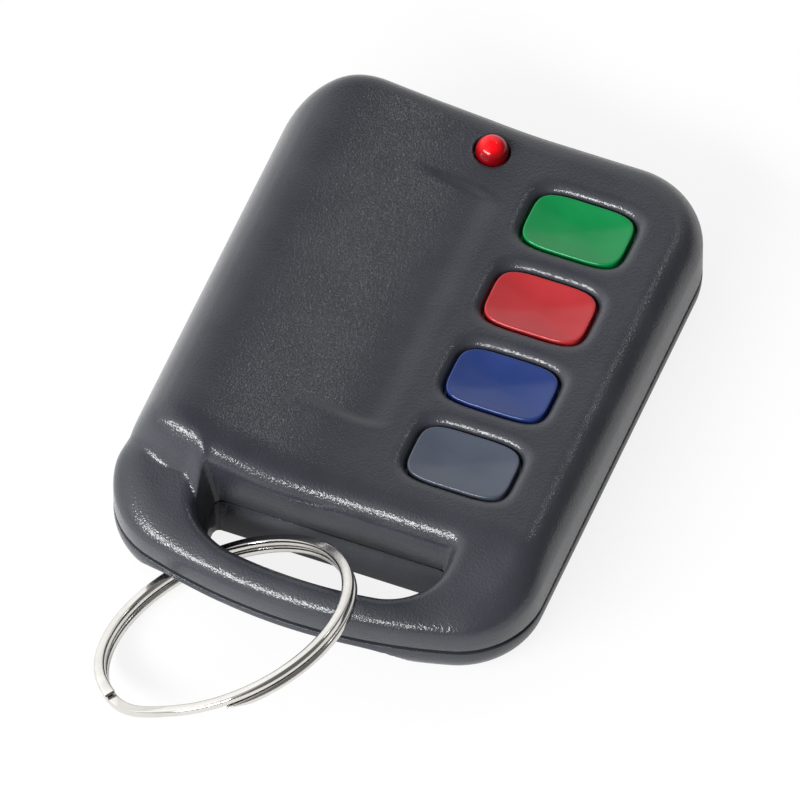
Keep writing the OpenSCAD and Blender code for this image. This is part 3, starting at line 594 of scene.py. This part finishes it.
lower = dict(
    cell=0.45, edgeIn=0.5, baseR=2.8, archH=2.7, archW=28.0, archX=-2.5, archSlope=7.0, archIn=3.1,
    archPower=8, archSeam=0.02, noArch=-1.0, grooveH=0.38, grooveD=1.0, wall=0.55,
    edgeSteps=(0.36, 0.24, 0.14, 0.07, 0.02, 0.0), brim=((0.0, 0.06), (0.02, 0.02), (0.06, 0.0)),
    slotEdge=((0.12, 0.06), (0.04, 0.13), (0.0, 0.25)), slotLip=((0.0, 0.12), (0.05, 0.05), (0.12, 0.04)),
)
screws = dict(
    x=(slot["width"] / 2 + halfW) / 2, y=slotY - 1.2, hole=4.5, holeEdge=((0.03, 0.05), (0.0, 0.15)),
    holeTrim=0.15, boreGap=0.15, boreEnd=0.4, headD=4.0, headH=1.3, headEdge=((0.04, 0.04), (0.0, 0.14)),
    sink=1.9, shank=2.2, length=5.4, point=1.0, pointShare=0.18, crossW=0.62, crossL=2.3, crossDeep=0.9,
    cell=0.16, faceTrim=0.12,
)
archEnd = -halfL + case["barW"] + lower["archIn"]


def archZ(x, y):
    u = (x - lower["archX"]) / (lower["archW"] / 2)
    if abs(u) >= 1 or y > archEnd:
        return lower["noArch"]
    s = math.radians(lower["archSlope"])
    return lower["archH"] * (1 - u ** lower["archPower"]) / math.cos(s) + (y + halfL) * math.tan(s)


def underZ(x, y, depth=None):
    d = bodyDepth(x, y) if depth is None else depth
    r = lower["baseR"]
    base = r - math.sqrt(r * r - (r - d) ** 2) if d < r else 0.0
    return max(base, archZ(x, y))


def screwField(side):
    return lambda x, y: math.hypot(x - side * screws["x"], y - screws["y"])


lowerHoles = [(bodyDepth, lower["edgeIn"]), (slotBaseGap, slot["bevel"])]
lowerHoles += [(screwField(side), screws["hole"] / 2 + screws["holeTrim"]) for side in (-1, 1)]
cutLines = (archEnd - lower["archSeam"], archEnd + lower["archSeam"])
bm, tagLayer = trimmedSheet((case["width"], case["length"]), lower["cell"], lowerHoles, cutLines)
for v in bm.verts:
    v.co.z = underZ(v.co.x, v.co.y)
bmesh.ops.reverse_faces(bm, faces=bm.faces)

loop = openLoop(bm, tagLayer, 1)
step = offsetStep(bodyDepth)
for d in lower["edgeSteps"]:
    loop = pullRing(bm, loop, ringOn(step, d, lambda x, y: underZ(x, y, d)))
brimZ = case["partZ"] - lower["grooveH"]
rings = [(inset, brimZ - drop) for inset, drop in lower["brim"]]
rings += [(lower["grooveD"], brimZ), (lower["grooveD"], case["partZ"])]
for inset, z in rings:
    loop = pullRing(bm, loop, ringOn(step, inset, lambda x, y: z))

loop = openLoop(bm, tagLayer, 2)
step = offsetStep(slotBaseGap)
for inset, z in lower["slotEdge"]:
    loop = pullRing(bm, loop, ringOn(step, inset, lambda x, y: max(z, archZ(x, y))))
step = offsetStep(slotMidGap)
for inset, drop in lower["slotLip"]:
    loop = pullRing(bm, loop, ringOn(step, inset, lambda x, y: case["partZ"] - drop))

bore = screws["shank"] / 2 + screws["boreGap"]
for i, side in enumerate((-1, 1)):
    loop = openLoop(bm, tagLayer, 3 + i)
    step = roundStep(side * screws["x"], screws["y"])
    rings = [(screws["hole"] / 2 + grow, z) for grow, z in screws["holeEdge"]]
    rings += [(screws["hole"] / 2, screws["sink"]), (bore, screws["sink"])]
    rings += [(bore, case["partZ"] - screws["boreEnd"])]
    for radius, z in rings:
        loop = pullRing(bm, loop, ringOn(step, radius, lambda x, y: z))
caseBase = finishPiece("caseBase", bm, "case", caseFinish, ("bottom_shell",))
thicken(caseBase, lower["wall"])


# Keys: one barrel outline carried up the wall, over the rim and into the finger dish

def barrelPoint(angle, grow, ends=0.0):
    c, s = math.cos(angle), math.sin(angle)
    e = 2 / keys["power"]
    return Vector(((keys["width"] / 2 + grow + ends) * math.copysign(abs(c) ** e, c),
                   (keys["length"] / 2 + grow) * math.copysign(abs(s) ** e, s)))


def makeKey(name, ky, body, material, node):
    k = keys
    top = case["deckZ"] - k["rimDrop"]
    bm = bmesh.new()
    made = bmesh.ops.create_circle(bm, segments=k["points"], radius=1.0, cap_ends=False)
    turn = {v: 2 * math.pi * (i + 0.5) / k["points"] for i, v in enumerate(made["verts"])}
    loop = list(bm.edges)

    def ringAt(grow, z, ends=0.0, shrink=1.0):
        nonlocal loop, turn
        made = bmesh.ops.extrude_edge_only(bm, edges=loop)["geom"]
        fresh = {v for v in made if isinstance(v, bmesh.types.BMVert)}
        after = {}
        for v in fresh:
            old = [e.other_vert(v) for e in v.link_edges if e.other_vert(v) in turn][0]
            after[v] = turn[old]
            p = barrelPoint(turn[old], grow, ends) * shrink
            v.co = (k["x"] + p.x, ky + p.y, z)
        loop = newEdges(made, fresh)
        turn = after

    for v, a in turn.items():
        p = barrelPoint(a, -k["inner"])
        v.co = (k["x"] + p.x, ky + p.y, k["low"])
    flangeTop = k["low"] + k["flangeT"]
    ringAt(k["flangeSide"], k["low"], k["flange"] - k["flangeSide"])
    ringAt(k["flangeSide"], flangeTop, k["flange"] - k["flangeSide"])
    ringAt(0.0, flangeTop)
    for inset, drop in quarterRound(k["edge"], k["edge"], k["edgeAngles"]):
        ringAt(-inset, top - drop)
    for i in range(1, k["dishSteps"]):
        f = 1 - i / k["dishSteps"]
        ringAt(-k["edge"], top - k["dish"] * (1 - f * f), 0.0, f)
    bmesh.ops.edgeloop_fill(bm, edges=loop)
    under = [e for e in bm.edges if e.is_boundary]
    inner = bmesh.ops.extrude_edge_only(bm, edges=under)["geom"]
    roof = [v for v in inner if isinstance(v, bmesh.types.BMVert)]
    bmesh.ops.translate(bm, verts=roof, vec=(0, 0, top - k["dish"] - k["roof"] - k["low"]))
    bmesh.ops.edgeloop_fill(bm, edges=[e for e in bm.edges if e.is_boundary])
    bmesh.ops.recalc_face_normals(bm, faces=bm.faces)
    finishPiece(name, bm, body, material, (node,))


makeKey("greenKeyCap", keys["ys"][0], "green_key", greenFinish, "green_button")
makeKey("redKeyCap", keys["ys"][1], "red_key", redFinish, "red_button")
makeKey("blueKeyCap", keys["ys"][2], "blue_key", blueFinish, "blue_button")
makeKey("greyKeyCap", keys["ys"][3], "grey_key", greyFinish, "grey_button")


# Lamp: one profile spun round

bm = bmesh.new()
lampR, collarR = lamp["d"] / 2, lamp["collar"] / 2
tipZ = lampZ + lamp["out"]
footZ = tipZ - lamp["height"]
collarZ = footZ + lamp["collarH"]
profile = [(0.0, footZ), (collarR, footZ), (collarR, collarZ), (lampR, collarZ)]
for a in range(0, 90, lamp["domeStep"]):
    t = math.radians(a)
    profile.append((lampR * math.cos(t), tipZ - lampR + lampR * math.sin(t)))
profile.append((0.0, tipZ))
chain = [bm.verts.new((lamp["x"] + px, lamp["y"], pz)) for px, pz in profile]
edges = [bm.edges.new(pair) for pair in zip(chain, chain[1:])]
bmesh.ops.spin(bm, geom=chain + edges, cent=(lamp["x"], lamp["y"], 0), axis=(0, 0, 1), angle=2 * math.pi,
               steps=lamp["facets"], use_merge=True)
cleanMesh(bm)
finishPiece("lampDome", bm, "case", lampFinish, ("led_lens",))


# Split ring: a flat wire spun almost twice round, stepping up a level on the way

ring = dict(
    od=24.46, wireW=1.05, stack=1.47, gap=0.08, round=0.24, roundSteps=5, start=44.0, stepFrom=340.0,
    stepTo=380.0, end=696.0, firstSteps=148, climbSteps=20, lastSteps=157, taper=12.0, tipT=0.35, sharp=60,
    tilt=28.5, heading=-17.8, stepAt=270.0, inX=-8.8, inY=5.92, inAt=135.0, lift=0.05,
)
wireT = (ring["stack"] - ring["gap"]) / 2
ringR = ring["od"] / 2 - ring["wireW"] / 2
upX = Matrix.Rotation(math.pi / 2, 3, "X")
bm = bmesh.new()
bmesh.ops.create_grid(bm, x_segments=1, y_segments=1, size=0.5)
bmesh.ops.scale(bm, vec=(ring["wireW"], wireT, 1), verts=bm.verts)
bmesh.ops.bevel(bm, geom=bm.verts[:], offset=ring["round"], affect="VERTICES", segments=ring["roundSteps"],
                profile=0.5, material=-1)
bmesh.ops.rotate(bm, cent=(0, 0, 0), matrix=upX, verts=bm.verts)
bmesh.ops.translate(bm, verts=bm.verts, vec=(ringR, 0, -(wireT + ring["gap"]) / 2))
toStart = Matrix.Rotation(math.radians(ring["start"]), 3, "Z")
bmesh.ops.rotate(bm, cent=(0, 0, 0), matrix=toStart, verts=bm.verts)


def spinWire(section, degrees, steps, climb=0.0):
    made = bmesh.ops.spin(bm, geom=section, cent=(0, 0, 0), axis=(0, 0, 1), dvec=(0, 0, climb / steps),
                          angle=math.radians(degrees), steps=steps)
    return [g for g in made["geom_last"] if isinstance(g, bmesh.types.BMFace)]


section = spinWire(bm.faces[:], ring["stepFrom"] - ring["start"], ring["firstSteps"])
level = wireT + ring["gap"]
count = ring["climbSteps"]
for i in range(count):
    climb = level * (ease(0, count, i + 1) - ease(0, count, i))
    section = spinWire(section, (ring["stepTo"] - ring["stepFrom"]) / count, 1, climb)
spinWire(section, ring["end"] - ring["stepTo"], ring["lastSteps"])
cleanMesh(bm)
for v in bm.verts:
    # both ends thin down against the neighbouring turn
    turned = math.degrees(math.atan2(v.co.y, v.co.x))
    past = turned - ring["start"] if v.co.z < 0 else (ring["end"] - 720) - turned
    if -0.01 <= past < ring["taper"]:
        inner = math.copysign(ring["gap"] / 2, v.co.z)
        thin = ring["tipT"] + (1 - ring["tipT"]) * ease(0, ring["taper"], past)
        v.co.z = inner + (v.co.z - inner) * thin
# the ring lies with one point of its edge on the bar and leans down to the floor
tilt, heading, inAt = (math.radians(ring[name]) for name in ("tilt", "heading", "inAt"))
lieX = ring["od"] / 2 * math.cos(inAt) * math.cos(tilt)
lieY = ring["od"] / 2 * math.sin(inAt)
ringX = ring["inX"] - lieX * math.cos(heading) + lieY * math.sin(heading)
ringY = -halfL + ring["inY"] - lieX * math.sin(heading) - lieY * math.cos(heading)
ringZ = ring["od"] / 2 * math.sin(tilt) + ring["stack"] / 2 * math.cos(tilt) + ring["lift"]
lie = Matrix.Translation((ringX, ringY, ringZ)) @ Matrix.Rotation(heading, 4, "Z")
lie = lie @ Matrix.Rotation(-tilt, 4, "Y") @ Matrix.Rotation(math.radians(ring["stepAt"]), 4, "Z")
bmesh.ops.transform(bm, matrix=lie, verts=bm.verts)
finishPiece("splitRing", bm, "ring", ringFinish, ("split_ring",), ring["sharp"])


# Contact spring: a round wire spun up three turns, then drawn in towards the cell

spring = dict(
    x=-13.5, y=-15.1, z=5.6, d=5.0, wire=0.45, length=3.6, turns=3, drawIn=0.35, endGap=0.02, facets=14,
    perTurn=48,
)
bm = bmesh.new()
wireR = spring["wire"] / 2
bmesh.ops.create_circle(bm, segments=spring["facets"], radius=wireR, cap_ends=True)
bmesh.ops.rotate(bm, cent=(0, 0, 0), matrix=upX, verts=bm.verts)
bmesh.ops.translate(bm, verts=bm.verts, vec=(spring["d"] / 2 - wireR, 0, wireR + spring["endGap"]))
steps = spring["perTurn"] * spring["turns"]
climb = spring["length"] - spring["wire"] - 2 * spring["endGap"]
bmesh.ops.spin(bm, geom=bm.faces[:], cent=(0, 0, 0), axis=(0, 0, 1), dvec=(0, 0, climb / steps),
               angle=2 * math.pi * spring["turns"], steps=steps)
cleanMesh(bm)
for v in bm.verts:
    pull = 1 - spring["drawIn"] / (spring["d"] / 2) * v.co.z / spring["length"]
    v.co.x *= pull
    v.co.y *= pull
lie = Matrix.Translation((spring["x"], spring["y"], spring["z"])) @ Matrix.Rotation(-math.pi / 2, 4, "X")
bmesh.ops.transform(bm, matrix=lie, verts=bm.verts)
finishPiece("contactSpring", bm, "case", steelFinish, ("negative_spring",))


# Screws: a round sheet with a cross pressed into it, its edge pulled up the head, shank and point

headR, shankR = screws["headD"] / 2, screws["shank"] / 2
faceLow = screws["sink"] - screws["headH"]
pointZ = screws["sink"] + screws["length"]


def headDepth(x, y):
    return headR - math.hypot(x, y)


headHoles = [(headDepth, screws["faceTrim"])]
bm, tagLayer = trimmedSheet((screws["headD"],) * 2, screws["cell"], headHoles)
for v in bm.verts:
    across, along = sorted((abs(v.co.x), abs(v.co.y)))
    sunk = across < screws["crossW"] / 2 and along < screws["crossL"] / 2
    v.co.z = faceLow + (screws["crossDeep"] * (1 - along / screws["crossL"]) if sunk else 0.0)
bmesh.ops.reverse_faces(bm, faces=bm.faces)
loop = openLoop(bm, tagLayer, 1)
step = roundStep(0, 0)
rings = [(headR - inset, faceLow + up) for inset, up in screws["headEdge"]]
rings += [(headR, screws["sink"]), (shankR, screws["sink"]), (shankR, pointZ - screws["point"])]
rings += [(screws["shank"] * screws["pointShare"], pointZ)]
for radius, z in rings:
    loop = pullRing(bm, loop, ringOn(step, radius, lambda x, y: z))
bmesh.ops.edgeloop_fill(bm, edges=loop)
bmesh.ops.recalc_face_normals(bm, faces=bm.faces)
twin = bmesh.ops.duplicate(bm, geom=bm.verts[:] + bm.edges[:] + bm.faces[:])["geom"]
twin = [g for g in twin if isinstance(g, bmesh.types.BMVert)]
bmesh.ops.translate(bm, verts=bm.verts, vec=(screws["x"], screws["y"], 0))
bmesh.ops.translate(bm, verts=twin, vec=(-2 * screws["x"], 0, 0))
finishPiece("caseScrews", bm, "case", steelFinish, ("case_screws",))


# Inside pieces keep their solids and get their own finish

insideFinish = {
    "led_leads": steelFinish, "circuit_board": boardFinish, "switch_covers": steelFinish,
    "battery": sleeveFinish, "positive_contact": steelFinish, "negative_plate": steelFinish,
    "encoder_chip": chipFinish, "saw_resonator": steelFinish, "rf_transistor": chipFinish,
    "trimmer_capacitor": ceramicFinish, "chip_resistors": chipFinish, "chip_capacitors": ceramicFinish,
    "loop_antenna": copperFinish,
}
for colour in ("green", "red", "blue", "grey"):
    insideFinish[colour + "_switch"] = switchFinish
    insideFinish[colour + "_plunger"] = plungerFinish
for name, material in insideFinish.items():
    mesh = nodes[name].data
    mesh.materials.clear()
    mesh.materials.append(material)
print("inside pieces finished:", len(insideFinish))


# Camera at the photograph's angle

shot = dict(
    azimuth=21.6, elevation=52.8, distance=2.0, pixelsPerMm=11.3, originX=405.57, originY=414.64, frame=800,
    sensor=36, clipStart=0.05, clipEnd=20,
)
az, el = math.radians(shot["azimuth"]), math.radians(shot["elevation"])
toCamera = Vector((math.sin(az) * math.cos(el), -math.cos(az) * math.cos(el), math.sin(el)))
rightward = Vector((math.cos(az), math.sin(az), 0))
upward = toCamera.cross(rightward)
middle = rightward * ((shot["frame"] / 2 - shot["originX"]) / shot["pixelsPerMm"] * mm)
middle -= upward * ((shot["frame"] / 2 - shot["originY"]) / shot["pixelsPerMm"] * mm)
camera = bpy.data.objects.new("camera", bpy.data.cameras.new("camera"))
camera.data.sensor_width = shot["sensor"]
camera.data.lens = shot["sensor"] * shot["pixelsPerMm"] * shot["distance"] / mm / shot["frame"]
camera.data.clip_start = shot["clipStart"]
camera.data.clip_end = shot["clipEnd"]
camera.location = middle + toCamera * shot["distance"]
camera.rotation_mode = "QUATERNION"
camera.rotation_quaternion = (-toCamera).to_track_quat("-Z", "Y")
bpy.context.scene.collection.objects.link(camera)
bpy.context.scene.camera = camera


# Pale floor and soft studio light

studio = dict(
    floorSize=1.6, floorColour=0.9, floorRough=0.9, floorGloss=0.1, floorGlow=0.86, floorShine=0.4,
    ambient=0.17, panel=0.75, panelRise=0.35, panelFull=0.70, panelEnd=0.86, panelLeft=0.1, panelRight=0.6,
)
# direction, angle of the bright middle, angle where it ends, strength
skyPatches = dict(
    overHump=((0.25, 0.56, 0.79), 1.5, 4.5, 6.5),
    leftSide=((-0.95, 0.25, 0.18), 12, 45, 0.6),
    frontLeft=((-0.65, -0.35, 0.67), 10, 50, 0.6),
)
strip = dict(direction=(-0.33, -0.77, 0.56), distance=0.9, width=0.8, height=0.17, power=11.5)

bm = bmesh.new()
bmesh.ops.create_grid(bm, x_segments=1, y_segments=1, size=studio["floorSize"] / 2)
mesh = bpy.data.meshes.new("floor")
bm.to_mesh(mesh)
bm.free()
floor = bpy.data.objects.new("floor", mesh)
bpy.context.scene.collection.objects.link(floor)
paper = bpy.data.materials.new("whitePaper")
paper.use_nodes = True
tree = paper.node_tree
shader = tree.nodes["Principled BSDF"]
shader.inputs["Base Color"].default_value = (studio["floorColour"],) * 3 + (1,)
shader.inputs["Roughness"].default_value = studio["floorRough"]
shader.inputs["Specular IOR Level"].default_value = studio["floorGloss"]
glow = tree.nodes.new("ShaderNodeEmission")
glow.inputs["Color"].default_value = (1, 1, 1, 1)
glow.inputs["Strength"].default_value = 1.0
# the floor is white to the eye and in reflections, and keeps a little of its shading
ray = tree.nodes.new("ShaderNodeLightPath").outputs
shine = mathNode(tree, "MULTIPLY", ray["Is Glossy Ray"], studio["floorShine"])
seen = mathNode(tree, "MAXIMUM", ray["Is Camera Ray"], shine)
seen = mathNode(tree, "MAXIMUM", seen, ray["Is Transmission Ray"])
mix = tree.nodes.new("ShaderNodeMixShader")
tree.links.new(mathNode(tree, "MULTIPLY", seen, studio["floorGlow"]), mix.inputs["Fac"])
tree.links.new(shader.outputs["BSDF"], mix.inputs[1])
tree.links.new(glow.outputs["Emission"], mix.inputs[2])
tree.links.new(mix.outputs["Shader"], tree.nodes["Material Output"].inputs["Surface"])
mesh.materials.append(paper)

world = bpy.data.worlds.new("studio")
bpy.context.scene.world = world
world.use_nodes = True
tree = world.node_tree
skyWay = tree.nodes.new("ShaderNodeTexCoord").outputs["Generated"]
split = tree.nodes.new("ShaderNodeSeparateXYZ")
tree.links.new(skyWay, split.inputs["Vector"])


def softStep(source, start, full, strength):
    return rangeNode(tree, source, 0.0, strength, start, full, "SMOOTHSTEP")


def skyPatch(direction, inner, outer, strength):
    near = vectorNode(tree, "DOT_PRODUCT", skyWay, Vector(direction).normalized())["Value"]
    return softStep(near, math.cos(math.radians(outer)), math.cos(math.radians(inner)), strength)


# a bright wall behind that ends below the zenith and to the right, and the soft patches
light = softStep(split.outputs["Y"], 0.0, studio["panelRise"], studio["panel"])
below = softStep(split.outputs["Z"], studio["panelEnd"], studio["panelFull"], 1.0)
light = mathNode(tree, "MULTIPLY", light, below)
leftward = softStep(split.outputs["X"], studio["panelRight"], studio["panelLeft"], 1.0)
light = mathNode(tree, "MULTIPLY", light, leftward)
light = mathNode(tree, "ADD", light, studio["ambient"])
for patch in skyPatches.values():
    light = mathNode(tree, "ADD", light, skyPatch(*patch))
sky = tree.nodes["Background"]
sky.inputs["Color"].default_value = (1, 1, 1, 1)
tree.links.new(light, sky.inputs["Strength"])

stripData = bpy.data.lights.new("frontStrip", "AREA")
stripData.shape = "RECTANGLE"
stripData.size = strip["width"]
stripData.size_y = strip["height"]
stripData.energy = strip["power"]
stripLight = bpy.data.objects.new("frontStrip", stripData)
away = Vector(strip["direction"]).normalized()
stripLight.location = away * strip["distance"]
stripLight.rotation_mode = "QUATERNION"
stripLight.rotation_quaternion = (-away).to_track_quat("-Z", "Y")
bpy.context.scene.collection.objects.link(stripLight)
bpy.context.scene.view_settings.view_transform = "Standard"
print("stage set")
